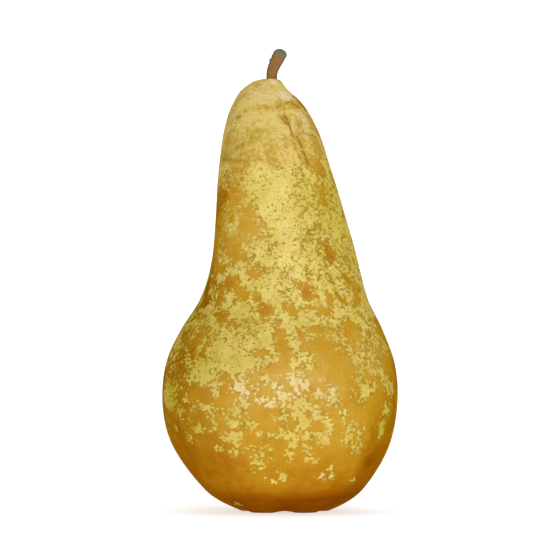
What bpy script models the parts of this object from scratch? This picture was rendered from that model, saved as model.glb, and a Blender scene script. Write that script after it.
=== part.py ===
"""A ripe, long-necked russet pear as picked, standing on its base, with its stalk and its dried calyx.

Units are metres and +Z is up. The pear stands on Z = 0, its widest ring is centred on the Z axis, and -Y is
its front. Shares of the height are measured up from the surface that it stands on.
"""

import math
import random

import bmesh
import bpy
import numpy as np

# Driving dimensions
BODY_WIDTH = 0.072
BODY_HEIGHT = 0.132
DEPTH_SHARE = 0.98
STALK_LENGTH = 0.0092
STALK_FOOT_RADIUS = 0.00165
STALK_TIP_RADIUS = 0.00215
BASIN_DEPTH = 0.0052
CLEARANCE = 0.0003

# The wall from the crown down to the ring it stands on, as shares of the height and of the half width
WALL = (
    (1.001, 0.000),
    (0.997, 0.108),
    (0.980, 0.185),
    (0.943, 0.301),
    (0.887, 0.393),
    (0.795, 0.476),
    (0.646, 0.575),
    (0.545, 0.650),
    (0.487, 0.717),
    (0.424, 0.849),
    (0.350, 0.964),
    (0.258, 1.000),
    (0.165, 0.939),
    (0.090, 0.787),
    (0.035, 0.608),
    (0.007, 0.410),
    (0.000, 0.300),
)

# The calyx basin from that ring in to the middle, as shares of its depth and of the half width
BASIN = (
    (0.20, 0.225),
    (0.62, 0.145),
    (0.92, 0.070),
    (1.00, 0.000),
)

# How far the middle of each ring lies to the right of the Z axis, at shares of the height
SPINE = (
    (0.00, 0.0014),
    (0.08, 0.0009),
    (0.18, 0.0001),
    (0.29, 0.0000),
    (0.39, 0.0003),
    (0.50, 0.0013),
    (0.59, 0.0014),
    (0.69, 0.0001),
    (0.80, -0.0016),
    (0.90, -0.0030),
    (0.95, -0.0039),
    (0.98, -0.0046),
    (1.00, -0.0037),
)
NECK_LEAN_BACK = 0.0016

# Mesh of the fruit: sides round, and rows that lie closer together where the pear is narrow
SIDES = 60
ROW_SPACING = 0.0040
ROW_SPACING_AT_AXIS = 0.0007
PROFILE_SAMPLES = 4000

# Five shallow lobes round the base, with a valley between two of them at the front
LOBES = 5
LOBE_START = math.radians(90)
LOBE_SWELL = 0.0007
LOBE_FADE_HEIGHT = 0.024
FOOT_DROP = 0.00055
FOOT_RADIUS = 0.0108
FOOT_REACH = 0.005

# The waist runs round the pear at a slant: higher at the back and lower at the front
WAIST_SHARE = 0.5
WAIST_REACH = 0.13
WAIST_SLANT = 0.0035

# Slow unevenness of the grown fruit: amount, waves round, waves over the height, and start of the wave
SWELLS = (
    (0.00035, 2, 1.3, 0.6),
    (0.00022, 3, 1.9, 2.1),
    (0.00012, 5, 2.6, 4.0),
    (0.00006, 7, 4.2, 1.2),
)
# All swelling fades out within this distance of the poles, where all the angles meet
POLE_RADIUS = 0.0144

# The stalk's way up from the crown, as shares of its length to the right, to the back and upwards
STALK_FOOT_X = -0.0026
STALK_SOCKET_DEPTH = 0.0045
STALK_WAY = (
    (0.000, 0.000, 0.000),
    (0.015, 0.010, 0.230),
    (0.095, 0.020, 0.490),
    (0.235, 0.030, 0.760),
    (0.315, 0.035, 0.870),
    (0.365, 0.035, 1.000),
)
STALK_POINTS = 22
STALK_TIP_ROUNDING = 0.0011
STALK_TIP_DOMING = 0.8
SOCKET_SIDES = 24

# The calyx: a short cup with five dried sepals and the stub of the withered stamens
CUP_RADIUS_AT_FLESH = 0.0018
CUP_RADIUS_AT_RIM = 0.0013
CUP_HEIGHT = 0.0014
CUP_SIDES = 20
SEPALS = 5
SEPAL_LENGTH = 0.0052
SEPAL_HALF_WIDTH = 0.0014
SEPAL_TIP_HALF_WIDTH = 0.00025
SEPAL_THICKNESS = 0.0007
SEPAL_ROOT_RADIUS = 0.0010
SEPAL_TAPER = 1.6
SEPAL_DROP = 0.0027
SEPAL_CURL = 1.7
SEPAL_HOLLOW = 0.0004
SEPAL_SHORTEST = 0.85
SEPAL_TURN = 0.12
SEPAL_TILT = 0.12
SEPAL_LEVELS = (0.6, 0.75)
SEPAL_SEED = 7
SEPAL_CELLS_ACROSS = 4
SEPAL_CELLS_ALONG = 8
STAMENS_RADIUS_AT_CUP = 0.0009
STAMENS_RADIUS_AT_TIP = 0.0005
STAMENS_HEIGHT = 0.0021


def smooth(knots, values, at):
    """Cubic Hermite curve through values at knots, with tangents from the neighbouring points."""
    knots = np.asarray(knots, float)
    values = np.asarray(values, float)
    slopes = np.gradient(values, knots, axis=0)
    span = np.clip(np.searchsorted(knots, at) - 1, 0, len(knots) - 2)
    width = knots[span + 1] - knots[span]
    u = (at - knots[span]) / width
    if values.ndim == 2:
        u = u[:, None]
        width = width[:, None]
    return (
        (2 * u**3 - 3 * u**2 + 1) * values[span]
        + (u**3 - 2 * u**2 + u) * width * slopes[span]
        + (3 * u**2 - 2 * u**3) * values[span + 1]
        + (u**3 - u**2) * width * slopes[span + 1]
    )


def chord_lengths(points):
    """Distance run along a chain of points, from its first one."""
    return np.concatenate([[0], np.cumsum(np.linalg.norm(np.diff(points, axis=0), axis=1))])


def wall_profile():
    """Radius and height of each row, from the crown down the wall and into the calyx basin."""
    half_width = BODY_WIDTH / 2
    wall = [(radius * half_width, height * BODY_HEIGHT) for height, radius in WALL]
    basin = [(radius * half_width, depth * BASIN_DEPTH) for depth, radius in BASIN]
    points = np.array(wall + basin)
    # One mirrored point past each pole makes the profile cross the axis level
    mirror = np.array((-1, 1))
    points = np.vstack([points[1] * mirror, points, points[-2] * mirror])
    lengths = chord_lengths(points)
    fine = smooth(lengths, points, np.linspace(lengths[1], lengths[-2], PROFILE_SAMPLES))
    spacing = ROW_SPACING_AT_AXIS + (ROW_SPACING - ROW_SPACING_AT_AXIS) * fine[:, 0] / half_width
    steps = np.diff(chord_lengths(fine)) / spacing[1:]
    count = np.concatenate([[0], np.cumsum(steps)])
    rows = np.linspace(0, count[-1], round(count[-1]) + 1)
    profile = np.stack([np.interp(rows, count, fine[:, axis]) for axis in (0, 1)], axis=1)
    profile[0, 0] = 0
    profile[-1, 0] = 0
    return profile


def grown(radius, angle, height):
    """Where a point of the turned pear lies on the grown one: lobed at the base, uneven, and bent in the neck."""
    share = height / BODY_HEIGHT
    near_wall = np.clip(radius / POLE_RADIUS, 0, 1)
    wave = np.cos(LOBES * (angle - LOBE_START))
    at_base = np.exp(-((height / LOBE_FADE_HEIGHT) ** 2))
    swollen = radius + LOBE_SWELL * wave * at_base * near_wall
    for amount, around, upward, start in SWELLS:
        swollen = swollen + near_wall * amount * np.sin(around * angle) * np.cos(
            2 * math.pi * upward * share + start
        )
    at_waist = np.exp(-(((share - WAIST_SHARE) / WAIST_REACH) ** 2))
    slanted = height + WAIST_SLANT * at_waist * np.sin(angle)
    at_foot = np.exp(-(((radius - FOOT_RADIUS) / FOOT_REACH) ** 2) - (height / BASIN_DEPTH) ** 2)
    # The lobes' tips are pressed flat where the pear stands
    raised = np.maximum(slanted - FOOT_DROP * wave * at_foot, 0)
    heights, offsets = np.array(SPINE).T
    x = smooth(heights, offsets, np.clip(share, 0, 1)) + swollen * np.cos(angle)
    y = NECK_LEAN_BACK * share**3 + DEPTH_SHARE * swollen * np.sin(angle)
    return np.stack([x, y, raised], axis=-1)


def material(name, colour, roughness):
    """A plain Principled BSDF surface. The colour is linear RGB."""
    made = bpy.data.materials.new(name)
    made.use_nodes = True
    shader = made.node_tree.nodes["Principled BSDF"]
    shader.inputs["Base Color"].default_value = (*colour, 1)
    shader.inputs["Roughness"].default_value = roughness
    shader.inputs["Metallic"].default_value = 0
    return made


def add_object(name, data, collection):
    """Links an object with this data to the collection."""
    made = bpy.data.objects.new(name, data)
    collection.objects.link(made)
    return made


def add_shape(name, shape, collection):
    """Links an object that holds this bmesh, and frees the bmesh."""
    mesh = bpy.data.meshes.new(name)
    shape.to_mesh(mesh)
    shape.free()
    return add_object(name, mesh, collection)


def add_cone(name, radius_low, radius_high, height, sides, collection):
    """A closed blunt cone or cylinder that stands upright, with its middle at the object's origin."""
    shape = bmesh.new()
    bmesh.ops.create_cone(
        shape,
        cap_ends=True,
        segments=sides,
        radius1=radius_low,
        radius2=radius_high,
        depth=height,
    )
    return add_shape(name, shape, collection)


def as_mesh(obj):
    """Puts the evaluated mesh of obj in a new mesh object of the same name and place, and removes obj."""
    bpy.context.view_layer.update()
    graph = bpy.context.evaluated_depsgraph_get()
    mesh = bpy.data.meshes.new_from_object(obj.evaluated_get(graph))
    welded = bmesh.new()
    welded.from_mesh(mesh)
    bmesh.ops.remove_doubles(welded, verts=welded.verts, dist=1e-6)
    welded.to_mesh(mesh)
    welded.free()
    name = obj.name
    place = obj.matrix_world.copy()
    collection = obj.users_collection[0]
    bpy.data.objects.remove(obj)
    made = add_object(name, mesh, collection)
    made.matrix_world = place
    return made


def make_fruit(collection, cutters):
    """The flesh and skin: a turned profile, then bent and lobed, with a blind socket for the stalk."""
    profile = wall_profile()
    mesh = bpy.data.meshes.new("fruit")
    edges = [(row, row + 1) for row in range(len(profile) - 1)]
    mesh.from_pydata([(radius, 0, height) for radius, height in profile], edges, [])
    turned = add_object("fruit", mesh, collection)
    screw = turned.modifiers.new("turn", "SCREW")
    screw.axis = "Z"
    screw.angle = 2 * math.pi
    screw.steps = SIDES
    screw.render_steps = SIDES
    screw.use_merge_vertices = True
    screw.merge_threshold = 0.00001
    fruit = as_mesh(turned)

    flat = np.empty(len(fruit.data.vertices) * 3)
    fruit.data.vertices.foreach_get("co", flat)
    x, y, height = flat.reshape(-1, 3).T
    points = grown(np.hypot(x, y), np.arctan2(y, x), height)
    fruit.data.vertices.foreach_set("co", points.ravel())
    fruit.data.shade_smooth()

    radius = STALK_FOOT_RADIUS + CLEARANCE
    socket = add_cone("stalk_socket", radius, radius, 2 * STALK_SOCKET_DEPTH, SOCKET_SIDES, cutters)
    socket.location = (STALK_FOOT_X, NECK_LEAN_BACK, BODY_HEIGHT)
    socket.hide_render = True
    socket.display_type = "WIRE"
    cut = fruit.modifiers.new("socket", "BOOLEAN")
    cut.operation = "DIFFERENCE"
    cut.solver = "EXACT"
    cut.object = socket
    fruit.data.materials.append(material("pear_skin", (0.56, 0.36, 0.07), 0.42))


def make_stalk(collection):
    """The woody stalk: a short bent rod that is thicker at its rounded tip, with its root in the socket."""
    way = np.array(STALK_WAY) * STALK_LENGTH
    root = np.array((0, 0, CLEARANCE - STALK_SOCKET_DEPTH))
    way = np.vstack([root, way])
    lengths = chord_lengths(way)
    # The points crowd towards the tip, which is round
    run = lengths[-1] * np.sin(np.linspace(0, math.pi / 2, STALK_POINTS))
    line = smooth(lengths, way, run)
    above = np.clip((run - lengths[1]) / (lengths[-1] - lengths[1]), 0, 1)
    radius = STALK_FOOT_RADIUS + (STALK_TIP_RADIUS - STALK_FOOT_RADIUS) * above
    into_tip = np.clip(1 - (lengths[-1] - run) / STALK_TIP_ROUNDING, 0, 1)
    radius = radius * np.sqrt(1 - STALK_TIP_DOMING * into_tip**2)

    curve = bpy.data.curves.new("stalk", "CURVE")
    curve.dimensions = "3D"
    curve.bevel_depth = 1
    curve.bevel_resolution = 4
    curve.use_fill_caps = True
    curve.twist_mode = "MINIMUM"
    spline = curve.splines.new("POLY")
    spline.points.add(len(line) - 1)
    for point, place, thickness in zip(spline.points, line, radius):
        point.co = (*place, 1)
        point.radius = thickness
    stalk = add_object("stalk", curve, collection)
    stalk.location = (STALK_FOOT_X, NECK_LEAN_BACK, BODY_HEIGHT)
    stalk = as_mesh(stalk)
    stalk.data.shade_smooth()
    stalk.data.materials.append(material("stalk_bark", (0.30, 0.14, 0.04), 0.7))


def make_sepal(name, length, collection):
    """One dried sepal along +X: a pointed leaf, hollowed across its width and drooping towards its tip."""
    leaf = bmesh.new()
    bmesh.ops.create_grid(
        leaf,
        x_segments=SEPAL_CELLS_ALONG,
        y_segments=SEPAL_CELLS_ACROSS,
        size=1,
    )
    for vertex in leaf.verts:
        along = (vertex.co.x + 1) / 2
        across = vertex.co.y
        narrowing = (SEPAL_HALF_WIDTH - SEPAL_TIP_HALF_WIDTH) * along**SEPAL_TAPER
        vertex.co.x = SEPAL_ROOT_RADIUS + along * length
        vertex.co.y = across * (SEPAL_HALF_WIDTH - narrowing)
        vertex.co.z = -SEPAL_DROP * along**SEPAL_CURL - SEPAL_HOLLOW * across**2 * (1 - along)
    sepal = add_shape(name, leaf, collection)
    wall = sepal.modifiers.new("thickness", "SOLIDIFY")
    wall.thickness = SEPAL_THICKNESS
    wall.offset = 0
    return as_mesh(sepal)


def make_calyx(collection):
    """The dried calyx in its basin: a cup, five sepals and the stub of the stamens, joined in one body."""
    middle = SPINE[0][1]
    top = BASIN_DEPTH - CLEARANCE
    cup = add_cone("calyx", CUP_RADIUS_AT_RIM, CUP_RADIUS_AT_FLESH, CUP_HEIGHT, CUP_SIDES, collection)
    cup.location = (middle, 0, top - CUP_HEIGHT / 2)
    repeats = bpy.data.collections.new("sepals")
    bpy.context.scene.collection.children.link(repeats)
    chance = random.Random(SEPAL_SEED)
    for number in range(SEPALS):
        length = SEPAL_LENGTH * chance.uniform(SEPAL_SHORTEST, 1)
        sepal = make_sepal(f"sepal_{number}", length, repeats)
        sepal.rotation_euler = (
            chance.uniform(-SEPAL_TILT, SEPAL_TILT),
            chance.uniform(-SEPAL_TILT, SEPAL_TILT),
            2 * math.pi * number / SEPALS + chance.uniform(-SEPAL_TURN, SEPAL_TURN),
        )
        sepal.location = (middle, 0, top - CUP_HEIGHT * chance.uniform(*SEPAL_LEVELS))
    stamens = add_cone(
        "stamens",
        STAMENS_RADIUS_AT_TIP,
        STAMENS_RADIUS_AT_CUP,
        STAMENS_HEIGHT,
        CUP_SIDES,
        repeats,
    )
    stamens.location = (middle, 0, top - CUP_HEIGHT / 2 - STAMENS_HEIGHT / 2)
    join = cup.modifiers.new("join", "BOOLEAN")
    join.operation = "UNION"
    join.solver = "EXACT"
    join.operand_type = "COLLECTION"
    join.collection = repeats
    calyx = as_mesh(cup)
    for piece in list(repeats.objects):
        bpy.data.objects.remove(piece)
    bpy.data.collections.remove(repeats)
    calyx.data.materials.append(material("calyx_dry", (0.09, 0.05, 0.025), 0.85))


def main():
    for obj in list(bpy.data.objects):
        bpy.data.objects.remove(obj)
    pear = bpy.data.collections.new("pear")
    cutters = bpy.data.collections.new("cutters")
    bpy.context.scene.collection.children.link(pear)
    bpy.context.scene.collection.children.link(cutters)
    make_fruit(pear, cutters)
    make_stalk(pear)
    make_calyx(pear)


main()
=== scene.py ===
import math

import bpy
import numpy as np
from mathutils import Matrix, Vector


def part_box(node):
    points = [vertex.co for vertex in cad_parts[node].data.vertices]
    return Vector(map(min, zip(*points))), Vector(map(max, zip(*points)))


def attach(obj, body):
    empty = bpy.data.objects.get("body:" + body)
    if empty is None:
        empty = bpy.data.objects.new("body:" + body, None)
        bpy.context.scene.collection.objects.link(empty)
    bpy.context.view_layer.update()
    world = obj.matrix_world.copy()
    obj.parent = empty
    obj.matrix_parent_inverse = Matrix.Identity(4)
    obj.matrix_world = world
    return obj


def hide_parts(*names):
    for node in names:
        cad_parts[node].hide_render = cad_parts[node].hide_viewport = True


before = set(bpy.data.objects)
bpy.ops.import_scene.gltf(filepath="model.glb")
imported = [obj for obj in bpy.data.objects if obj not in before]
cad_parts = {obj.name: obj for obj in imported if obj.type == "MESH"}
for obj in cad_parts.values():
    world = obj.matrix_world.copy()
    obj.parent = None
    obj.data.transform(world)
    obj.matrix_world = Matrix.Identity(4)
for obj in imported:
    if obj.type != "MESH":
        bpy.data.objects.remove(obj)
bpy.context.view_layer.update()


# The fruit's skin
# Flesh and skin grew as one piece: a turned form with a lobed base, a slanted waist and a neck that leans.
# It is one closed surface here, from the crown round the stalk down to the middle of the calyx basin.

fruit_low, fruit_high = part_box("fruit")
HALF_WIDTH = (fruit_high.x - fruit_low.x) / 2
DEPTH_SHARE = 0.98
BODY_HEIGHT = 0.132
BASIN_DEPTH = 0.0052

# The wall from the crown down to the ring it stands on, as shares of the height and of the half width
WALL = (
    (1.001, 0.000), (0.997, 0.108), (0.980, 0.185), (0.943, 0.301), (0.887, 0.393), (0.795, 0.476),
    (0.646, 0.575), (0.545, 0.650), (0.487, 0.717), (0.424, 0.849), (0.350, 0.964), (0.258, 1.000),
    (0.165, 0.939), (0.090, 0.787), (0.035, 0.608), (0.007, 0.410), (0.000, 0.300),
)

# The calyx basin from that ring in to the middle, as shares of its depth and of the half width
BASIN = (
    (0.20, 0.225), (0.62, 0.145), (0.92, 0.070), (1.00, 0.000),
)

# How far the middle of each ring lies to the right of the Z axis, at shares of the height
SPINE = (
    (0.00, 0.0014), (0.08, 0.0009), (0.18, 0.0001), (0.29, 0.0000), (0.39, 0.0003), (0.50, 0.0013),
    (0.59, 0.0014), (0.69, 0.0001), (0.80, -0.0016), (0.90, -0.0030), (0.95, -0.0039), (0.98, -0.0046),
    (1.00, -0.0037),
)
NECK_LEAN_BACK = 0.0016
LOBES = 5
LOBE_START = math.radians(90)
LOBE_SWELL = 0.0007
LOBE_FADE_HEIGHT = 0.024
FOOT_DROP = 0.00055
FOOT_RADIUS = 0.0108
FOOT_REACH = 0.005
WAIST_SHARE = 0.5
WAIST_REACH = 0.13
WAIST_SLANT = 0.0035

# Slow unevenness: amount, waves round, waves over the height, and start of the wave
SWELLS = (
    (0.00035, 2, 1.3, 0.6), (0.00022, 3, 1.9, 2.1), (0.00012, 5, 2.6, 4.0), (0.00006, 7, 4.2, 1.2),
)
POLE_RADIUS = 0.0144
SKIN_ROWS = 328
SKIN_COLUMNS = 300
ROW_EVENNESS = 0.35
PROFILE_SAMPLES = 8000


def smooth(knots, values, at):
    """Cubic Hermite curve through values at knots, with tangents from the neighbouring points."""
    knots = np.asarray(knots, float)
    values = np.asarray(values, float)
    slopes = np.gradient(values, knots, axis=0)
    span = np.clip(np.searchsorted(knots, at) - 1, 0, len(knots) - 2)
    width = knots[span + 1] - knots[span]
    u = (at - knots[span]) / width
    if values.ndim == 2:
        u = u[:, None]
        width = width[:, None]
    return (
        (2 * u**3 - 3 * u**2 + 1) * values[span]
        + (u**3 - 2 * u**2 + u) * width * slopes[span]
        + (3 * u**2 - 2 * u**3) * values[span + 1]
        + (u**3 - u**2) * width * slopes[span + 1]
    )


def chord_lengths(points):
    """Distance run along a chain of points, from its first one."""
    return np.concatenate([[0], np.cumsum(np.linalg.norm(np.diff(points, axis=0), axis=1))])


def bell(distance):
    """Gaussian bell exp(-d squared): 1 at distance 0, fading out past 1."""
    return np.exp(-np.square(distance))


def skin_profile():
    """Radius and height of every row, from the crown to the middle of the basin.

    A smooth curve runs through WALL and BASIN, mirrored one point past each pole so that it crosses the axis
    level, and is cut in steps that shorten as the radius shrinks.
    """
    wall = [(radius * HALF_WIDTH, height * BODY_HEIGHT) for height, radius in WALL]
    basin = [(radius * HALF_WIDTH, depth * BASIN_DEPTH) for depth, radius in BASIN]
    points = np.array(wall + basin)
    mirror = np.array((-1, 1))
    points = np.vstack([points[1] * mirror, points, points[-2] * mirror])
    lengths = chord_lengths(points)
    fine = smooth(lengths, points, np.linspace(lengths[1], lengths[-2], PROFILE_SAMPLES))
    spacing = ROW_EVENNESS + (1 - ROW_EVENNESS) * fine[:, 0] / HALF_WIDTH
    count = np.concatenate([[0], np.cumsum(np.diff(chord_lengths(fine)) / spacing[1:])])
    rows = np.linspace(0, count[-1], SKIN_ROWS)
    profile = np.stack([np.interp(rows, count, fine[:, axis]) for axis in (0, 1)], axis=1)
    profile[[0, -1], 0] = 0
    return profile


def grown(radius, angle, height):
    """Where a point of the turned form lies on the grown one.

    The radius gains a cosine of five waves near the base and four slow waves; the height gains a sine at the
    waist and loses a cosine at the foot, cut off at zero; the middle of each ring follows the spine.
    """
    share = height / BODY_HEIGHT
    near_wall = np.clip(radius / POLE_RADIUS, 0, 1)
    wave = np.cos(LOBES * (angle - LOBE_START))
    swollen = radius + LOBE_SWELL * wave * bell(height / LOBE_FADE_HEIGHT) * near_wall
    for amount, around, upward, start in SWELLS:
        swollen += near_wall * amount * np.sin(around * angle) * np.cos(math.tau * upward * share + start)
    slanted = height + WAIST_SLANT * bell((share - WAIST_SHARE) / WAIST_REACH) * np.sin(angle)
    at_foot = bell((radius - FOOT_RADIUS) / FOOT_REACH) * bell(height / BASIN_DEPTH)
    raised = np.maximum(slanted - FOOT_DROP * wave * at_foot, 0)
    heights, offsets = np.array(SPINE).T
    middle = smooth(heights, offsets, np.clip(share, 0, 1).ravel()).reshape(share.shape)
    x = middle + swollen * np.cos(angle)
    y = NECK_LEAN_BACK * share**3 + DEPTH_SHARE * swollen * np.sin(angle)
    return np.stack([x, y, raised], axis=-1)


def grid_normals(points):
    """Outward unit normals of a grid closed across its columns: the cross product of its tangents."""
    around = np.roll(points, -1, axis=1) - np.roll(points, 1, axis=1)
    down = np.gradient(points, axis=0)
    normals = np.cross(down, around)
    length = np.linalg.norm(normals, axis=-1, keepdims=True)
    return normals / np.maximum(length, 1e-12)


profile = skin_profile()
row_radius = profile[:, 0]
row_run = chord_lengths(profile)
angles = math.tau * np.arange(SKIN_COLUMNS) / SKIN_COLUMNS
angle_grid = np.broadcast_to(angles, (SKIN_ROWS, SKIN_COLUMNS))
radius_grid = np.broadcast_to(row_radius[:, None], angle_grid.shape)
height_grid = np.broadcast_to(profile[:, 1:], angle_grid.shape)
skin_points = grown(radius_grid, angle_grid, height_grid)
normals = grid_normals(skin_points)
normals[0] = (0, 0, 1)
normals[-1] = (0, 0, -1)

# Turn round the pear from the middle of its front, in radians: right is positive
turn_grid = (angle_grid + math.pi / 2 + math.pi) % math.tau - math.pi

# Marks are placed by the photograph's pixels, as the camera sees them: columns to the right, rows down
WIDTH_IN_PIXELS = 235.4
PIXEL = HALF_WIDTH * 2 / WIDTH_IN_PIXELS
AXIS_COLUMN = 280
EYE_ROW = 280
FLOOR_ROW = 511
EYE_HEIGHT = (FLOOR_ROW - EYE_ROW) * PIXEL
CAMERA_DISTANCE = 1.35
# Marks of the front fade in where the skin starts to face the camera
FACING_START = 0.08
FACING_FADE = 0.2
pixel_grid = PIXEL * (1 + skin_points[..., 1] / CAMERA_DISTANCE)
column_grid = AXIS_COLUMN + skin_points[..., 0] / pixel_grid
row_grid = EYE_ROW - (skin_points[..., 2] - EYE_HEIGHT) / pixel_grid
front = np.clip((-normals[..., 1] - FACING_START) / FACING_FADE, 0, 1)

# Small dents and swellings of the skin: how many, how wide, how many times longer, how high, and how far
# they keep from the crown and from the middle of the base, in metres
DENTS = 130
DENT_SIZES = (0.0025, 0.0080)
DENT_STRETCH = (1.0, 1.8)
DENT_HEIGHT = 0.00011
DENT_CROWN_GAP = 0.006
DENT_BASE_GAP = 0.012
dent_chance = np.random.default_rng(11)


def skin_distance(turn, run, half_across, half_along, tilt=0.0):
    """Distance of every vertex from a place on the skin, in units of an ellipse's half axes.

    The place is a turn round the pear and a run down the profile. The arc and the run from there are turned
    by the tilt, then divided by the half axes.
    """
    across = row_radius[:, None] * ((turn_grid - turn + math.pi) % math.tau - math.pi)
    along = (row_run - run)[:, None]
    u = across * math.cos(tilt) + along * math.sin(tilt)
    v = along * math.cos(tilt) - across * math.sin(tilt)
    return np.hypot(u / half_across, v / half_along)


relief = np.zeros(angle_grid.shape)
for dent in range(DENTS):
    turn = dent_chance.uniform(-math.pi, math.pi)
    run = dent_chance.uniform(DENT_CROWN_GAP, row_run[-1] - DENT_BASE_GAP)
    size = dent_chance.uniform(*DENT_SIZES)
    length = size * dent_chance.uniform(*DENT_STRETCH)
    relief += dent_chance.uniform(-DENT_HEIGHT, DENT_HEIGHT) * bell(skin_distance(turn, run, size, length))

# The skin stands up in a fleshy ring round the stalk, higher on one side
STALK_PLACE = (-0.0026, 0.0016)
RING_RADIUS = 0.0024
RING_WIDTH = 0.0008
RING_HEIGHT = 0.00016
RING_SWING = 0.5
RING_START = 0.6
CROWN_SHARE = 0.9
from_stalk = np.hypot(skin_points[..., 0] - STALK_PLACE[0], skin_points[..., 1] - STALK_PLACE[1])
on_crown = height_grid > CROWN_SHARE * BODY_HEIGHT
ring = bell((from_stalk - RING_RADIUS) / RING_WIDTH) * on_crown
relief += RING_HEIGHT * ring * (1 + RING_SWING * np.sin(turn_grid + RING_START))

# Cracks and scratches of the front: how strong each is, and the chain of pixels that it follows
CRACKS = (
    (1.0, ((284, 116), (287, 119), (288, 122), (290, 127), (291, 131), (293, 136))),
    (0.9, ((297, 136), (299, 141), (300, 143), (302, 147))),
    (0.6, ((293, 141), (295, 146), (295, 149))),
    (0.6, ((298, 153), (300, 158))),
    (0.9, ((303, 151), (305, 155), (306, 158), (308, 164))),
    (0.6, ((302, 133), (306, 134), (311, 135), (316, 137))),
    (0.8, ((282, 119), (285, 121), (287, 125))),
    (0.7, ((280, 117), (284, 117))),
    (0.5, ((299, 124), (299, 129))),
    (0.9, ((237, 118), (240, 116))),
    (0.8, ((256, 86), (260, 85))),
    (0.6, ((276, 108), (280, 106), (281, 103))),
    (0.6, ((285, 104), (290, 102), (295, 105), (299, 108))),
    (0.9, ((293, 96), (297, 100), (303, 107), (306, 111))),
    (0.6, ((235, 151), (238, 147), (243, 144))),
    (0.5, ((222, 159), (232, 160), (246, 161))),
    (0.7, ((319, 240), (323, 243), (327, 249), (328, 256))),
    (0.7, ((323, 257), (331, 261), (337, 268), (345, 277), (350, 283))),
    (0.5, ((334, 289), (339, 298), (346, 306))),
)
# Half width in pixels, and depth in metres
CRACK_WIDTH = 1.0
CRACK_DEPTH = 0.00008
# A pale scar beside the stalk, where a flake of skin has gone, and the lip of skin that stands beside it
SCAR_PLACE = (286, 96)
SCAR_SIZE = (10, 5.5)
SCAR_SLANT = 0.25
SCAR_SHARPNESS = 2.6
SCAR_DEPTH = 0.0001
LIP = ((288, 103), (296, 98), (301, 103), (305, 109))
LIP_WIDTH = 1.8
LIP_HEIGHT = 0.0003


def line_distance(start, end):
    """Distance of every vertex from a line between two pixels, as seen from the front, in pixels."""
    along = np.subtract(end, start)
    x = column_grid - start[0]
    y = row_grid - start[1]
    share = np.clip((x * along[0] + y * along[1]) / np.dot(along, along), 0, 1)
    return np.hypot(x - share * along[0], y - share * along[1])


def chain_marks(chain, width):
    """Bell of the distance from a chain of pixels, on the front of the pear, over a width in pixels."""
    marks = [bell(line_distance(start, end) / width) for start, end in zip(chain, chain[1:])]
    return front * np.max(marks, axis=0)


cracked = np.max([strength * chain_marks(chain, CRACK_WIDTH) for strength, chain in CRACKS], axis=0)
scar_across = (column_grid - SCAR_PLACE[0]) / SCAR_SIZE[0]
scar_down = (row_grid - SCAR_PLACE[1] - SCAR_SLANT * (column_grid - SCAR_PLACE[0])) / SCAR_SIZE[1]
scar = front * np.clip(SCAR_SHARPNESS * (1 - np.hypot(scar_across, scar_down)), 0, 1)
relief += LIP_HEIGHT * chain_marks(LIP, LIP_WIDTH) - CRACK_DEPTH * cracked - SCAR_DEPTH * scar
skin_points = skin_points + relief[..., None] * normals
skin_points[..., 2] = np.maximum(skin_points[..., 2], 0)

# Russet: pale brown cork that has spread over the golden skin. Below the shore it covers the skin, above it
# it lies in patches. The shore is given by turn in degrees and by pixel row of the photograph.
SHORE = (
    (-180, 330), (-150, 312), (-120, 336), (-95, 350), (-75, 364), (-60, 382), (-35, 378), (-14, 372),
    (-2, 352), (8, 336), (18, 328), (26, 330), (34, 352), (45, 370), (60, 352), (75, 344), (90, 348),
    (110, 352), (130, 328), (155, 344), (180, 330),
)
# How fast the depth of the russet grows below the shore, and how deep it gets, in metres
SHORE_SLOPE = 0.5
DEEPEST = 0.0042

# Soft places in the photograph: column, row, half width and half height in pixels, and amount. These tell
# how thickly the golden skin is flecked
FLECKED = (
    (324, 208, 26, 50, 1.2), (340, 262, 26, 30, 0.8), (300, 270, 40, 24, 0.5), (270, 200, 24, 40, 0.4),
    (232, 358, 26, 20, -0.1), (278, 258, 14, 12, 1.0), (290, 172, 14, 10, 0.5), (280, 212, 22, 46, -0.7),
    (240, 330, 26, 10, 0.5), (176, 362, 16, 34, 2.0), (205, 316, 30, 20, 1.4), (372, 335, 26, 40, 1.0),
    (245, 296, 40, 16, 0.5), (262, 100, 60, 26, -1.0), (265, 430, 110, 44, -1.0),
)
# The gold counts as no farther than this from russet, in metres, and as closer where it is flecked
FLECK_DISTANCE = 0.0012
FLECK_CLOSENESS = 0.45

# Where russet and gold are mixed most finely, in the same form: how much shallower both become there
MIXED_PLACES = (
    (174, 368, 14, 28, 0.7), (188, 344, 15, 18, 0.6), (200, 330, 14, 12, 0.4), (364, 354, 16, 24, 0.7),
    (386, 340, 8, 30, 0.6), (318, 338, 8, 6, 0.5), (285, 424, 60, 30, 0.35), (236, 428, 22, 24, 0.2),
    (244, 222, 20, 30, 0.35), (222, 225, 9, 55, 0.5), (240, 255, 16, 14, 0.35), (232, 178, 16, 20, 0.6),
    (345, 290, 16, 26, 0.5), (262, 160, 50, 30, 0.3), (264, 312, 14, 12, 0.3), (331, 254, 8, 10, 0.4),
    (321, 196, 10, 12, 0.5), (314, 162, 14, 18, 0.45), (392, 350, 6, 30, 0.4), (330, 345, 30, 22, 0.25),
)
MOST_MIXED = 0.9

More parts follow.
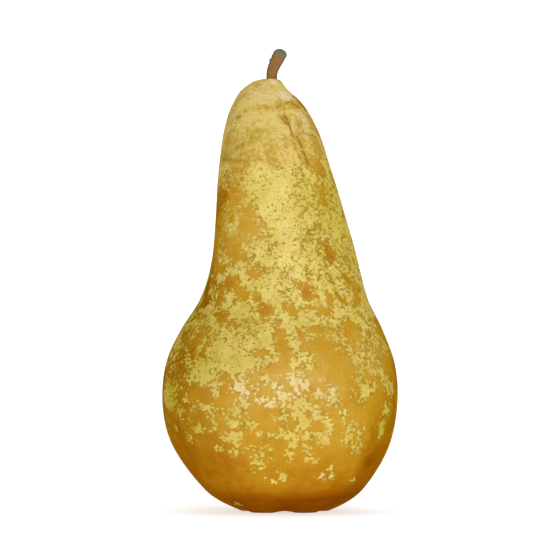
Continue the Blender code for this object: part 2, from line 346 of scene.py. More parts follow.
# Patches of russet: column, row, half width and half height in pixels, and any tilt in degrees
RUSSET_PATCHES = (
    # Left side of the neck
    (227, 198, 7, 18), (236, 198, 9, 8), (229, 206, 6, 8), (248, 223, 10, 18), (232, 216, 5, 6),
    (224, 222, 4, 12), (240, 238, 15, 6, -5), (234, 251, 10, 9, 15), (219, 222, 5, 42, 4),
    (215, 256, 4, 20, 5), (263, 225, 2.5, 3.5), (264, 237, 4, 2.5), (252, 268, 8, 1.2),
    (254, 274, 7, 5, 10),
    # Waist, on the left
    (219, 268, 8, 7, -20), (210, 288, 6, 12, -15), (221, 290, 4, 5), (205, 302, 6, 7, -35),
    (219, 302, 4, 6, -20), (231, 283, 7, 8, -10), (239, 291, 9, 7, 35), (195, 316, 3, 4, -40),
    (222, 317, 7, 6, 10), (227, 325, 2, 4, 10), (240, 320, 13, 1.8, -5), (256, 297, 4, 5, -20),
    (265, 310, 9, 8, 10), (262, 320, 5, 3),
    # Waist, in the middle and on the right
    (297, 284, 5, 2.5, 15), (304, 288, 7, 5), (309, 295, 6, 5, -30), (291, 310, 9, 5, 20),
    (312, 307, 10, 3), (325, 313, 7.5, 7), (276, 323, 5, 4, 10), (352, 284, 9, 5, 30),
    (330, 300, 4, 7, -20), (341, 300, 2, 5, -40), (357, 298, 4, 7, -20),
    # Shoulder of the belly
    (316, 331, 19, 4.5, 3), (330, 331, 6, 4), (322, 348, 12, 15), (351, 334, 11, 16, -5),
    (340, 350, 5, 5), (383, 331, 3, 14, -20), (384, 347, 3, 8, -20), (390, 356, 4, 24, -8),
    (392, 400, 3, 24), (283, 346, 7, 9), (280, 334, 7, 7), (330, 342, 6, 7), (258, 353, 9, 4),
    (285, 366, 8, 8), (211, 342, 7, 5), (196, 337, 9, 6, -30), (184, 353, 12, 11, -30),
    (190, 356, 11, 6, -10), (177, 371, 8, 14, -10), (186, 333, 4, 6, -40), (224, 379, 11, 6),
    (226, 391, 4, 8), (256, 377, 7, 7),
    # Right side of the neck
    (330, 253, 6.5, 9, -15), (272, 150, 6, 8), (274, 160, 6, 4), (320, 190, 6, 6, 40),
    (324, 202, 3, 5, 30), (318, 165, 8, 9, 35), (308, 160, 6, 8, -20), (318, 146, 5, 12, -25),
    # Crown
    (246, 143, 9, 2.5, -35), (231, 152, 8, 3, 20), (233, 142, 9, 4, -10), (247, 154, 6, 3),
    (238, 158, 15, 2.5), (236, 172, 10, 6, -15), (293, 105, 12, 3.5, 10), (279, 107, 5, 3, -20),
    (266, 108, 7, 1.5), (285, 118, 4, 4), (294, 139, 2.5, 3, -20), (238, 116, 3.5, 1.5, -30),
    # The first patch below lies along the crown's right outline and darkens it partly as painted shade
    (314, 125, 2, 13, -22), (228, 141, 5, 8), (226, 158, 6, 8), (296, 137, 3.5, 4, -20),
    (301, 143, 5, 7, -30), (300, 122, 3, 5, -30), (258, 132, 8, 2, -10),
)

# Golden islands that the russet has left bare, in the same form, and a margin in pixels all round them
ISLAND_MARGIN = 0.9
GOLDEN_ISLANDS = (
    # Neck
    (231, 227, 3, 3), (239, 208, 4, 2), (251, 254, 8, 5, -30), (213, 291, 3, 5, 20), (228, 262, 3, 1.5),
    (262, 212, 5, 7),
    # Shoulder of the belly
    (228, 352, 20, 20), (201, 372, 9.5, 13, -25), (240, 362, 10, 12), (262, 338, 11, 8), (265, 364, 6, 5),
    (272, 358, 4, 5), (295, 345, 5, 8), (303, 356, 7, 6), (295, 364, 5, 6), (309, 366, 8, 3.5, -10),
    (311, 337, 5, 2.5, -20), (338, 324, 2.5, 14, -6), (298, 374, 7, 2), (310, 321, 28, 3),
    (371, 332, 6, 15, -25), (355, 352, 10, 3, 45), (366, 362, 8, 4, 45), (380, 368, 3.5, 14, -12),
    (168, 395, 6, 14),
    # Across the belly, where it shines
    (215, 388, 5, 7, 10), (242, 383, 6, 3, -20), (236, 387, 6, 5, -30), (242, 391, 6, 4, 20),
    (254, 389, 4, 3, -20), (264, 378, 5, 5), (276, 385, 4, 3.5), (294, 381, 7, 3.5, 10),
    (305, 386, 11, 3.5, 40), (318, 394, 5, 4, 20), (332, 391, 4, 6), (333, 402, 6, 6),
    (262, 400, 8, 3, 20), (269, 404, 4, 4), (283, 397, 8, 4, -15), (296, 396, 6, 3, -40),
    (360, 378, 7, 4, 10), (368, 388, 8, 8, -20), (361, 398, 3, 6), (351, 396, 2, 6, 10),
    # Edges of the belly
    (389, 388, 4, 7, 10), (386, 410, 3, 6), (382, 427, 3, 8, -20), (206, 407, 7, 4, 20),
    (180, 413, 2.5, 5), (192, 408, 1.5, 2), (212, 416, 2, 2), (222, 411, 2, 3), (190, 421, 1, 1),
    (176, 428, 1, 2.5), (185, 400, 2, 3), (199, 429, 4, 4), (190, 438, 3, 2, 40), (214, 427, 1, 2.5, 20),
    # Middle of the belly
    (244, 403, 7, 5, -40), (238, 412, 10, 5, -30), (233, 423, 6, 4.5, -20), (247, 425, 8.5, 4.5, -5),
    (230, 437, 8, 4.5, -20), (241, 432, 4, 2.5), (236, 450, 5, 3), (220, 449, 2.5, 2),
    (303, 404, 6, 8, 25), (298, 414, 9, 6), (303, 423, 7, 6), (284, 414, 5, 7), (316, 412, 8.5, 6, 30),
    (322, 419, 6, 4, 20), (285, 426, 4, 4), (277, 437, 13, 3.5, 3), (265, 441, 5, 3, -30),
    (291, 434, 6, 5), (294, 445, 5, 5), (309, 436, 7.5, 5), (322, 437, 7, 6.5, 20), (329, 430, 4, 6),
    (349, 425, 4, 4), (347, 438, 4, 7, 10), (359, 434, 3, 7), (355, 449, 5, 4, -10), (343, 414, 3, 5),
    # Towards the base
    (254, 450, 5, 2, 20), (262, 452, 4, 1.5, 20), (270, 452, 2, 4, 30), (289, 453, 3, 3),
    (290, 459, 2, 2), (308, 451, 3, 4), (308, 458, 2, 2), (258, 462, 5.5, 6), (256, 471, 2, 1),
    (283, 476, 4, 3.5), (272, 481, 4, 1.5), (276, 467, 1, 1), (321, 475, 1.5, 3), (331, 477, 2, 2, -40),
    (330, 467, 1.2, 1.5), (316, 462, 1.5, 1.5), (353, 480, 1.5, 2), (240, 504, 1.6, 0.2),
)

# Where the russet fades out softly, in the form of the flecked places
SOFT_PLACES = (
    (230, 200, 16, 60, 0.7), (250, 228, 12, 22, 0.3), (340, 340, 40, 40, 0.25), (322, 196, 10, 16, 0.7),
    (262, 308, 14, 14, 0.3),
)

# Patches of both kinds on the sides and the back, placed by chance past a turn from the front: how many,
# their largest half width and their run down the wall in metres, their stretch and the spread of their tilt
HIDDEN_TURN = math.radians(86)
HIDDEN_RUSSET = 110
RUSSET_SIZE = 0.0045
RUSSET_RUN = (0.024, 0.108)
RUSSET_STRETCH = (0.6, 2.6)
RUSSET_TILT = 0.5
HIDDEN_ISLANDS = 260
ISLAND_SIZE = 0.003
ISLAND_RUN = 0.098
ISLAND_WAVE = 0.006
ISLAND_SPREAD = 0.048
ISLAND_MIDDLE = 0.11
ISLAND_STRETCH = (0.5, 1.3)
ISLAND_TILT = 0.6
hidden_chance = np.random.default_rng(5)

# How the skin under a pixel is found: rounds, first guess of its Y, reach over which the slope is measured,
# and limits that keep a patch near the outline from stretching without end
PLACING_ROUNDS = 8
FIRST_Y = -0.02
SLOPE_REACH = 0.002
SIDE_LIMIT = 0.985
LOWERING_LIMIT = 0.3
wall_rows = int(np.argmin(profile[:, 1]))


def under_pixels(column, row, half_width, half_height):
    """Turn, run, half width and half height on the skin of a patch that is given in pixels.

    Found in a few rounds: the skin's depth scales the pixel, and the waist's slant is taken off its height.
    Both halves grow where the skin turns away from the camera.
    """
    heights, offsets = np.array(SPINE).T
    y = FIRST_Y
    side = 0.0
    share = (FLOOR_ROW - row) * PIXEL / BODY_HEIGHT
    for guess in range(PLACING_ROUNDS):
        scale = PIXEL * (1 + y / CAMERA_DISTANCE)
        slant = WAIST_SLANT * bell((share - WAIST_SHARE) / WAIST_REACH) * math.sqrt(1 - side**2)
        height = EYE_HEIGHT + (EYE_ROW - row) * scale + slant
        share = height / BODY_HEIGHT
        run = np.interp(-height, -profile[:wall_rows, 1], row_run[:wall_rows])
        radius = np.interp(run, row_run, row_radius)
        middle = np.interp(share, heights, offsets)
        side = np.clip(((column - AXIS_COLUMN) * scale - middle) / radius, -SIDE_LIMIT, SIDE_LIMIT)
        y = NECK_LEAN_BACK * share**3 - DEPTH_SHARE * radius * math.sqrt(1 - side**2)
    above, below = np.interp((run - SLOPE_REACH, run + SLOPE_REACH), row_run, profile[:, 1])
    half_across = half_width * PIXEL / math.sqrt(1 - side**2)
    half_along = half_height * PIXEL / max((above - below) / (2 * SLOPE_REACH), LOWERING_LIMIT)
    return math.asin(side), run, half_across, half_along


def depth_in_patch(turn, run, half_across, half_along, tilt):
    """How deep every vertex lies inside an ellipse on the skin, in metres, and negative outside it."""
    return (1 - skin_distance(turn, run, half_across, half_along, tilt)) * min(half_across, half_along)


def depth_in_pixel_patch(column, row, half_width, half_height, tilt=0):
    """How deep every vertex lies inside a patch that is given in pixels."""
    return depth_in_patch(*under_pixels(column, row, half_width, half_height), math.radians(tilt))


def soft_places(places):
    """Sum of Gaussian bells on the skin, each centred under a pixel and sized in pixels."""
    return sum(amount * bell(skin_distance(*under_pixels(*patch))) for *patch, amount in places)


def hidden_turn(run, half_across):
    """A turn by chance, at which a patch of this half width stays clear of the front."""
    reach = half_across / np.interp(run, row_run, row_radius)
    return math.pi + hidden_chance.uniform(-1, 1) * (math.pi - HIDDEN_TURN - reach)


shore_turns, shore_rows = np.array(SHORE, float).T
shore_heights = (FLOOR_ROW - np.interp(np.degrees(turn_grid), shore_turns, shore_rows)) * PIXEL
on_wall = np.arange(SKIN_ROWS)[:, None] < wall_rows
russet = np.where(on_wall, SHORE_SLOPE * (shore_heights - skin_points[..., 2]), DEEPEST)
for patch in RUSSET_PATCHES:
    russet = np.maximum(russet, depth_in_pixel_patch(*patch))
for patch in range(HIDDEN_RUSSET):
    run = hidden_chance.uniform(*RUSSET_RUN)
    half_across = RUSSET_SIZE * hidden_chance.uniform(0.2, 1) ** 1.6
    turn = hidden_turn(run, half_across)
    half_along = half_across * hidden_chance.uniform(*RUSSET_STRETCH)
    tilt = hidden_chance.normal(0, RUSSET_TILT)
    russet = np.maximum(russet, depth_in_patch(turn, run, half_across, half_along, tilt))
russet = np.minimum(russet, DEEPEST)
for column, row, half_width, half_height, *tilt in GOLDEN_ISLANDS:
    larger = (half_width + ISLAND_MARGIN, half_height + ISLAND_MARGIN)
    russet = np.minimum(russet, -depth_in_pixel_patch(column, row, *larger, *tilt))
for island in range(HIDDEN_ISLANDS):
    half_across = ISLAND_SIZE * hidden_chance.uniform(0.15, 1) ** 1.7
    turn = hidden_turn(ISLAND_MIDDLE, half_across)
    run = ISLAND_RUN + ISLAND_WAVE * math.sin(3 * turn)
    run += ISLAND_SPREAD * hidden_chance.uniform(0, 1) ** 1.3
    half_along = half_across * hidden_chance.uniform(*ISLAND_STRETCH)
    tilt = hidden_chance.normal(0, ISLAND_TILT)
    russet = np.minimum(russet, -depth_in_patch(turn, run, half_across, half_along, tilt))
russet = russet * (1 - np.clip(soft_places(MIXED_PLACES), 0, MOST_MIXED))

# The back is flecked too, most at the waist
BACK_TURN = 1.3
BACK_FADE = 0.5
BACK_FLECKS = 0.5
WAIST_ROW = 320
WAIST_ROWS = 50
at_back = np.clip((np.abs(turn_grid) - BACK_TURN) / BACK_FADE, 0, 1)
waist_flecks = BACK_FLECKS + bell((row_grid - WAIST_ROW) / WAIST_ROWS)
flecked = np.clip(soft_places(FLECKED) + waist_flecks * at_back, -1, 2)
russet = np.maximum(russet, -FLECK_DISTANCE * (1 - FLECK_CLOSENESS * flecked))

# Soft differences of colour, in the same form: how dark the russet is, how green and how pale the skin is.
# The russet's lighter places across the belly are a painted highlight of its sheen, and its darker places
# at the lower edges are partly painted shade. The pale places across the belly are a painted highlight of
# the sheen too; the others are pale, pinkish spots of the skin
RUSSET_DEPTHS = (
    (224, 190, 10, 40, 0.15), (250, 225, 16, 26, -0.25), (232, 285, 22, 18, 0.1), (205, 300, 16, 26, 0.35),
    (264, 308, 14, 16, 0.25), (331, 254, 8, 12, 0.6), (321, 194, 8, 12, -0.25), (304, 290, 12, 12, 0.35),
    (345, 340, 34, 26, 0.08), (318, 374, 46, 20, -0.25), (262, 388, 50, 20, -0.1), (222, 318, 10, 10, 0.2),
    (189, 356, 14, 8, 0.2), (392, 370, 6, 50, 0.1), (178, 360, 16, 34, 0.25), (203, 390, 16, 14, 0.05),
    (180, 420, 20, 40, 0.36), (384, 440, 18, 40, 0.25), (369, 462, 5, 6, 0.5), (328, 502, 20, 5, 0.3),
    (296, 493, 28, 8, -0.22), (350, 472, 18, 14, -0.15), (228, 452, 34, 30, 0.1), (368, 330, 14, 22, -0.2),
    (374, 354, 18, 18, -0.42), (300, 160, 40, 14, 0.1),
)
GREEN_PLACES = (
    (202, 366, 16, 22, 0.35), (228, 340, 36, 30, 0.1), (192, 312, 14, 16, 0.3), (346, 240, 14, 50, 0.15),
    (228, 130, 14, 34, 0.15), (172, 395, 8, 20, 0.8), (316, 404, 30, 18, 0.08), (182, 350, 18, 36, 0.35),
    (321, 192, 8, 10, 0.3), (232, 282, 12, 14, 0.2), (388, 372, 8, 30, 0.15), (384, 428, 8, 18, 0.8),
    (330, 204, 16, 34, 0.35), (200, 430, 20, 20, 0.5),
)
PALE_AND_SHEEN_PLACES = (
    (303, 120, 8, 7, 0.42), (262, 95, 16, 9, 0.3), (262, 216, 7, 8, 0.12), (243, 389, 30, 10, 0.48),
    (300, 386, 26, 10, 0.42), (266, 402, 20, 8, 0.36), (330, 391, 8, 8, 0.36), (326, 474, 8, 6, 0.25),
    (320, 409, 12, 8, 0.15), (274, 81, 5, 3, 0.8),
)
# The crown's tan begins above a row and fades in, by a factor of e over some rows
CROWN_ROW = 162
CROWN_ROWS = 5.5
# How dark the russet is: in the middle, at most, and what the low part, the underside and the sides add.
# The low part and the underside darken partly as browner russet at the base and partly as painted shade
# where the skin faces down; the sides, which SIDE_GREEN also turns olive, darken as painted shade along
# the left and right edges, carried on round the back
MIDDLE_DEPTH = 0.42
MOST_DEPTH = 1.4
LOW_ROW = 425
LOW_ROWS = 50
LOW_DEPTH = 0.35
UNDER_ROW = 478
UNDER_ROWS = 26
UNDER_LIMIT = 1.1
UNDER_DEPTH = 0.9
SIDE_TURN = 0.8
SIDE_FADE = 0.5
SIDE_DEPTH = 0.35
SIDE_GREEN = 0.25
SCAR_PALENESS = 0.75
low = np.clip((row_grid - LOW_ROW) / LOW_ROWS, 0, 1)
under = np.clip((row_grid - UNDER_ROW) / UNDER_ROWS, 0, UNDER_LIMIT) ** 2
at_sides = np.clip((np.abs(turn_grid) - SIDE_TURN) / SIDE_FADE, 0, 1)
depth = MIDDLE_DEPTH + LOW_DEPTH * low + UNDER_DEPTH * under + SIDE_DEPTH * at_sides
depth = np.minimum(np.where(on_wall, depth + soft_places(RUSSET_DEPTHS), MOST_DEPTH), MOST_DEPTH)
green = np.clip(SIDE_GREEN * at_sides + soft_places(GREEN_PLACES), 0, 1)
# Pale places across the belly are a painted highlight of its sheen; the rest, with the scar, are paler skin
pale_and_sheen = np.clip(soft_places(PALE_AND_SHEEN_PLACES) + SCAR_PALENESS * scar, 0, 1)
crown = 1 / (1 + np.exp((row_grid - CROWN_ROW) / CROWN_ROWS))
soft = np.clip(crown + soft_places(SOFT_PLACES), 0, 1)


def packed(grid):
    """The values of a grid in the order of the mesh's vertices, with one left at each pole."""
    inner = grid[1:-1].reshape(-1, *grid.shape[2:])
    return np.concatenate([grid[:1, 0], inner, grid[-1:, 0]])


def closed_mesh(name, material, *grids):
    """A mesh of grids of one size, each closed across its columns, with a pole in its first and last row.

    Quads join each row to the next one, and a fan of triangles closes each pole.
    """
    rows, columns = grids[0].shape[:2]
    here = 1 + np.arange((rows - 2) * columns).reshape(rows - 2, columns)
    right = np.roll(here, -1, axis=1)
    quads = np.stack([here[:-1], here[1:], right[1:], right[:-1]], axis=-1).reshape(-1, 4)
    last = 1 + (rows - 2) * columns
    top = np.stack([np.zeros(columns, int), here[0], right[0]], axis=-1)
    bottom = np.stack([np.full(columns, last), right[-1], here[-1]], axis=-1)
    faces = []
    for number in range(len(grids)):
        for kind in (quads, top, bottom):
            faces += (kind + number * (last + 1)).tolist()
    mesh = bpy.data.meshes.new(name)
    mesh.from_pydata(np.concatenate([packed(grid) for grid in grids]).tolist(), [], faces)
    mesh.shade_smooth()
    mesh.materials.append(material)
    return mesh


def keep_values(mesh, name, grid):
    """Stores one number a vertex under this name, for the material."""
    attribute = mesh.attributes.new(name, "FLOAT", "POINT")
    attribute.data.foreach_set("value", packed(grid).astype(np.float32))


def add_object(data):
    """Links an object with this mesh, light or camera and its name, at the origin."""
    made = bpy.data.objects.new(data.name, data)
    bpy.context.scene.collection.objects.link(made)
    return made


def new_material(name):
    """A material with its node tree, and its Principled shader."""
    made = bpy.data.materials.new(name)
    made.use_nodes = True
    return made, made.node_tree, made.node_tree.nodes["Principled BSDF"]


def fill(node, sockets):
    """Fills a node's sockets with values or with other nodes' outputs."""
    for name, value in sockets.items():
        if isinstance(value, bpy.types.NodeSocket):
            node.id_data.links.new(value, node.inputs[name])
        else:
            node.inputs[name].default_value = value


def add_node(tree, kind, sockets, output=0, **settings):
    """Adds a node, sets its properties, fills its sockets and gives one of its outputs."""
    made = tree.nodes.new("ShaderNode" + kind)
    for name, value in settings.items():
        setattr(made, name, value)
    fill(made, sockets)
    return made.outputs[output]


def maths(operation, first, second=0.0, third=0.0):
    """Output of a Math node, in the tree of its first value."""
    return add_node(first.id_data, "Math", {0: first, 1: second, 2: third}, operation=operation)


def times(first, second):
    """One value times another."""
    return maths("MULTIPLY", first, second)


def plus(base, amount, value, middle=0.0):
    """A base plus an amount times how far a value lies above its middle."""
    above = maths("SUBTRACT", value, middle) if middle else value
    return maths("MULTIPLY_ADD", above, amount, base)


def ramp(value, low, high, to_low=0.0, to_high=1.0):
    """Smooth step of a value from low to high."""
    sockets = {"Value": value, "From Min": low, "From Max": high, "To Min": to_low, "To Max": to_high}
    return add_node(value.id_data, "MapRange", sockets, interpolation_type="SMOOTHSTEP")


def painted(colour, *coats):
    """A colour under several coats, each a share that it covers and its own colour."""
    for share, coat in coats:
        colour = add_node(share.id_data, "Mix", {0: share, 6: colour, 7: coat}, 2, data_type="RGBA")
    return colour


def noise(place, scale, detail=2.0, roughness=0.5, distortion=0.0):
    """Noise value at a place, about 0.5 on average. Scale is in waves a metre."""
    numbers = {"Scale": scale, "Detail": detail, "Roughness": roughness, "Distortion": distortion}
    return add_node(place.id_data, "TexNoise", {"Vector": place, **numbers})


def cells(place, scale):
    """Distance to the nearest of many scattered points, in cells. Scale is in cells a metre."""
    return add_node(place.id_data, "TexVoronoi", {"Vector": place, "Scale": scale}, "Distance")


def scaled(place, scale):
    """A place whose three axes are scaled, which squeezes or stretches a pattern."""
    return add_node(place.id_data, "Mapping", {"Vector": place, "Scale": scale})


def value_of(tree, name):
    """A number kept on the mesh."""
    return add_node(tree, "Attribute", {}, "Fac", attribute_name=name)


def bumped(height, depth, strength):
    """A normal that is bumped by a height from 0 to 1, over a depth in metres."""
    return add_node(height.id_data, "Bump", {"Height": height, "Distance": depth, "Strength": strength})


def linear(red, green, blue):
    """A colour from 0 to 255 as the linear values that shaders take."""
    shares = np.array((red, green, blue)) / 255
    curved = ((shares + 0.055) / 1.055) ** 2.4
    return (*np.where(shares <= 0.04045, shares / 12.92, curved).tolist(), 1)


GOLD = linear(226, 206, 110)
GOLD_DEEP = linear(212, 186, 84)
GOLD_PINK = linear(224, 190, 110)
GOLD_GREEN = linear(194, 174, 48)
GOLD_CROWN = linear(222, 198, 108)
GOLD_CROWN_PINK = linear(224, 190, 112)
GOLD_CROWN_DARK = linear(190, 158, 62)
PALE_AND_SHEEN_GOLD = linear(238, 214, 170)
RUSSET_LIGHT = linear(206, 166, 68)
RUSSET_MID = linear(197, 147, 30)
RUSSET_DARK = linear(158, 92, 0)
# RUSSET_BASE, the darkest, is reached on the underside, where the darkening is partly painted shade
RUSSET_BASE = linear(120, 60, 4)
RUSSET_OLIVE = linear(166, 124, 16)
RUSSET_TAN = linear(196, 152, 40)
RUSSET_ORANGE = linear(204, 132, 14)
GOLD_SHADE = linear(196, 168, 66)
SPECK = linear(168, 134, 38)
FLECK = linear(168, 132, 12)
DASH = linear(142, 108, 4)
CRACK = linear(142, 96, 14)

# Patterns of noise: waves a metre, detail, roughness and distortion. The second lot is flattened
PATTERNS = {
    "broad": (60, 3),
    "blotches": (150, 3, 0.6, 0.5),
    "groups": (200, 2),
    "mottle": (210, 4, 0.62),
    "blush": (260, 3, 0.6, 0.6),
    "edge": (330, 4, 0.6),
    "lines": (420, 1, 0.5, 0.4),
    "gloss": (500, 3),
    "grain": (1500, 2, 0.6),
}
FLAT_PATTERNS = {
    "stain": (420, 5, 0.7, 0.4),
    "flecks": (700, 3, 0.6),
    "fine": (900, 2, 0.55),
    "breaks": (950, 1),
}
FLATTENING = (1, 1, 1.5)
# Cells a metre of the pale dots, mostly a painted highlight of the belly's sheen, the lenticels and the
# cells that make the edge ragged
SHINE_CELLS = 360
LENTICEL_CELLS = 430
EDGE_CELLS = 850
# How far the patterns shift the edge of the russet, from one kind of place to another, in metres
KEPT_SHARE = 0.7
EDGE_SHIFT = (0.0024, 0.0030)
FINE_SHIFT = 0.0027
CELL_SHIFT = (0.0020, 0.0012)
CELL_MIDDLE = 0.42
# How widely that edge fades out, from crisp to blotchy places, and what soft places add, in metres
EDGE_FADE = (0.00007, 0.0005)
SOFT_FADE = 0.001
SKIN_BUMP = 0.00012
# Heights in metres between which the base turns into the belly; over the last pair the gold deepens
# towards the base as painted shade
DULL_HEIGHTS = (0.010, 0.034)
CALM_HEIGHTS = (0.008, 0.045)
CELL_HEIGHTS = (0.042, 0.060)
LOW_SHADE_HEIGHTS = (0.060, 0.020)


def skin_material(values):
    """Golden waxy skin under patches of russet, with lenticels, specks, scratches and a soft sheen, partly
    painted.

    The russet's edge is where its kept depth plus noise crosses zero, and cells that merge make it ragged.
    """
    made, tree, shader = new_material("pear_skin")
    place = add_node(tree, "TexCoord", {}, "Object")
    height = add_node(tree, "SeparateXYZ", {"Vector": place}, "Z")
    at = {name: value_of(tree, name) for name in values}
    at.update({name: noise(place, *sizes) for name, sizes in PATTERNS.items()})
    at.update({name: noise(scaled(place, FLATTENING), *sizes) for name, sizes in FLAT_PATTERNS.items()})

    # Where russet covers the gold: the level is above zero there
    level = times(at["russet"], KEPT_SHARE)
    level = plus(level, ramp(at["russet"], -0.0011, -0.0002, *EDGE_SHIFT), at["edge"], 0.5)
    level = plus(level, FINE_SHIFT, at["fine"], 0.5)
    level = plus(level, ramp(height, *CELL_HEIGHTS, *CELL_SHIFT), cells(place, EDGE_CELLS), CELL_MIDDLE)
    width = plus(ramp(at["blotches"], 0.48, 0.66, *EDGE_FADE), SOFT_FADE, at["soft"])
    covered = ramp(level, times(width, -1.0), width)

    # The golden skin, tan at the crown, with grains, flecks and short dashes, deeper towards the base as
    # painted shade, and paler at the pale places, which across the belly are a painted highlight
    crown_gold = painted(
        GOLD_CROWN,
        (ramp(at["blush"], 0.46, 0.60), GOLD_CROWN_PINK),
        (ramp(plus(at["stain"], 0.5, at["broad"]), 0.76, 0.92, 0.0, 0.7), GOLD_CROWN_DARK),
    )
    # Mottled deeper gold, more of it towards the base, where the deepening is painted shade
    mottle_and_low_shade = maths("ADD", at["mottle"], ramp(height, *LOW_SHADE_HEIGHTS, 0.0, 0.12))
    flecked = maths("MINIMUM", at["flecked"], 1.0)
    flecks = plus(plus(at["flecks"], 0.50, at["groups"], 0.5), 0.05, flecked)
    breaks = plus(plus(at["breaks"], 0.75, at["groups"], 0.5), 0.06, flecked)
    lines = ramp(maths("ABSOLUTE", maths("SUBTRACT", at["lines"], 0.5)), 0.022, 0.060, 1.0, 0.0)
    dashes = times(times(lines, ramp(breaks, 0.53, 0.61, 0.0, 0.7)), ramp(at["crown"], 0.3, 1.0, 1.0, 0.45))
    gold = painted(
        GOLD,
        (ramp(mottle_and_low_shade, 0.40, 0.66), GOLD_DEEP),
        (ramp(at["blush"], 0.50, 0.62, 0.0, 0.6), GOLD_PINK),
        (at["green"], GOLD_GREEN),
        (at["crown"], crown_gold),
        (ramp(at["grain"], 0.48, 0.68, 0.0, 0.35), GOLD_SHADE),
        (ramp(flecks, 0.60, 0.66, 0.0, 0.65), FLECK),
        (dashes, DASH),
        (at["pale_and_sheen"], PALE_AND_SHEEN_GOLD),
    )

    # The russet, from light to dark by its tone, calmer and more even towards the base. The tone holds
    # painted shade at the base and the sides, and a lighter painted highlight where the belly shines
    lively = ramp(height, *CALM_HEIGHTS, 0.32, 0.82)
    tone = plus(at["depth"], 0.85, at["broad"], 0.5)
    tone = plus(tone, lively, at["edge"], 0.5)
    tone = plus(tone, times(lively, 0.8), at["grain"], 0.5)
    tinted = ramp(height, *DULL_HEIGHTS)
    brown = painted(
        RUSSET_LIGHT,
        (ramp(tone, 0.0, 0.55), RUSSET_MID),
        (ramp(tone, 0.45, 1.15), RUSSET_DARK),
        (ramp(tone, 0.95, 1.75), RUSSET_BASE),
        (times(tinted, ramp(at["blotches"], 0.50, 0.66, 0.0, 0.5)), RUSSET_TAN),
        (times(tinted, ramp(at["mottle"], 0.56, 0.70, 0.0, 0.45)), RUSSET_ORANGE),
        (ramp(at["russet"], -0.0007, 0.0002, 0.8, 0.0), SPECK),
        (ramp(level, 0.0001, 0.0007, 0.4, 0.0), SPECK),
        (times(at["green"], 0.8), RUSSET_OLIVE),
        (times(at["crown"], 0.75), GOLD_CROWN_DARK),
    )

    # Over both lie pale dots, mostly a painted highlight of the sheen, lenticels and cracks
    shine = ramp(cells(place, SHINE_CELLS), 0.20, 0.30, 1.6, 0.0)
    lenticels = ramp(cells(place, LENTICEL_CELLS), 0.05, 0.11, 1.0, 0.0)
    colour = painted(
        gold,
        (covered, brown),
        (times(shine, at["pale_and_sheen"]), PALE_AND_SHEEN_GOLD),
        (times(lenticels, 0.5), SPECK),
        (times(at["cracked"], ramp(at["fine"], 0.22, 0.44)), CRACK),
    )
    raised = plus(plus(times(at["fine"], 0.5), 0.35, covered), 0.5, lenticels)

    # A soft sheen where the skin faces the eye, duller at the base
    facing = add_node(tree, "LayerWeight", {"Blend": 0.5}, "Facing")
    gloss = times(ramp(facing, 0.05, 0.40, 0.19, 0.0), ramp(height, *DULL_HEIGHTS, 0.2, 1.0))
    roughness = ramp(at["gloss"], 0.3, 0.7, 0.40, 0.54)
    fill(shader, {"Base Color": colour, "Roughness": roughness, "Specular IOR Level": gloss})
    fill(shader, {"Normal": bumped(raised, SKIN_BUMP, 0.6)})
    return made


skin_values = {"russet": russet, "depth": depth, "green": green, "crown": crown}
skin_values.update({"pale_and_sheen": pale_and_sheen, "cracked": cracked, "flecked": flecked, "soft": soft})
skin_mesh = closed_mesh("pear_skin", skin_material(skin_values), skin_points)
for name, grid in skin_values.items():
    keep_values(skin_mesh, name, grid)
skin = add_object(skin_mesh)
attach(skin, "root")
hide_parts("fruit")


# The stalk
# A short woody stalk, broken off at a blunt grey tip that is thicker than its foot. It stands in the crown
# and leans to the right, with bark that is ridged lengthwise and stepped where it was bent.

STALK_LENGTH = 0.0092
STALK_FOOT_RADIUS = 0.00154
STALK_TIP_RADIUS = 0.00215
STALK_ROOT = 0.004
# Its middle line, in shares of its length above the crown: to the right, to the back and up
STALK_WAY = (
    (0.000, 0.000, 0.000), (0.015, 0.010, 0.230), (0.100, 0.020, 0.490), (0.235, 0.030, 0.760),
    (0.285, 0.035, 0.890), (0.315, 0.035, 1.020),
)
STALK_ROWS = 170
STALK_COLUMNS = 96
STALK_TIP_ROUNDING = 0.0017
STALK_TIP_ROUGHNESS = 0.00003
STALK_ROOT_ROUNDING = 0.0004
# Ridges along it: how many each wave makes, how high one of a single wave would be, and how far they twist
STALK_RIDGES = (5, 8, 13, 19)
STALK_RIDGE_HEIGHT = 0.00022
STALK_TWIST = 3
# Rings where the stalk swells: share of its length above the crown, reach, height, and turn in degrees
STALK_KNOTS = (
    (0.55, 0.040, 0.00034, 180), (0.69, 0.030, 0.00024, 190), (0.86, 0.050, 0.00016, 10),
    (0.10, 0.060, 0.00012, 40),
)
stalk_chance = np.random.default_rng(3)


